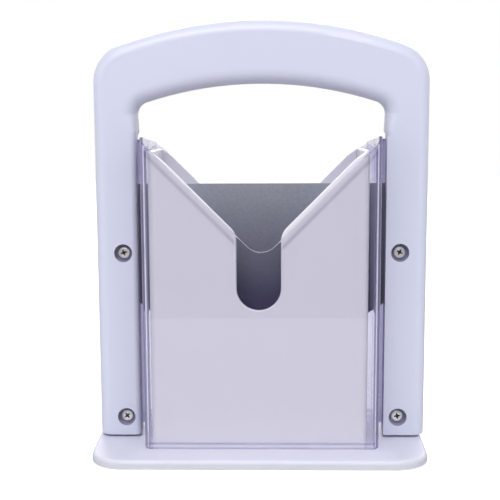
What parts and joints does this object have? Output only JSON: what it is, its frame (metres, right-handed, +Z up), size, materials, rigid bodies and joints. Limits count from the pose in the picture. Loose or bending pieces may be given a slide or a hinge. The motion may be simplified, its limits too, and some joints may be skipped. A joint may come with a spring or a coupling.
{
  "type": "bagel guillotine slicer",
  "caption": "Upright bagel slicer: white base and holder with a V mouth, and an arch handle that carries a blade between clear safety shields.",
  "frame": {"origin": "middle of the base, on the surface the rubber feet stand on", "axes": "+Z up along the travel of the handle, +Y to the back, +X to the right seen from the screw side"},
  "size_m": [0.1801, 0.096, 0.231],
  "materials": {
    "white_plastic": "moulded plastic, soft gloss",
    "clear_plastic": "clear polished plastic",
    "coated_steel": "dark grey non-stick coating",
    "screw_steel": "bright zinc",
    "foot_rubber": "matt"
  },
  "bodies": {
    "holder_base": {"base_plate": "white_plastic", "holder_front": "white_plastic", "holder_rear": "white_plastic", "foot_front_left": "foot_rubber", "foot_front_right": "foot_rubber", "foot_rear_left": "foot_rubber", "foot_rear_right": "foot_rubber", "base_screw_front_left": "screw_steel", "base_screw_front_right": "screw_steel", "base_screw_rear_left": "screw_steel", "base_screw_rear_right": "screw_steel"},
    "carriage": {"handle_front_shell": "white_plastic", "handle_rear_shell": "white_plastic", "blade": "coated_steel", "shield_front": "clear_plastic", "shield_rear": "clear_plastic", "leg_screw_upper_left": "screw_steel", "leg_screw_upper_right": "screw_steel", "leg_screw_lower_left": "screw_steel", "leg_screw_lower_right": "screw_steel"}
  },
  "joints": [
    {"name": "handle_lift", "type": "slide", "parent": "holder_base", "child": "carriage", "axis": [0, 0, 1], "range_m": [0, 0.17]}
  ]
}
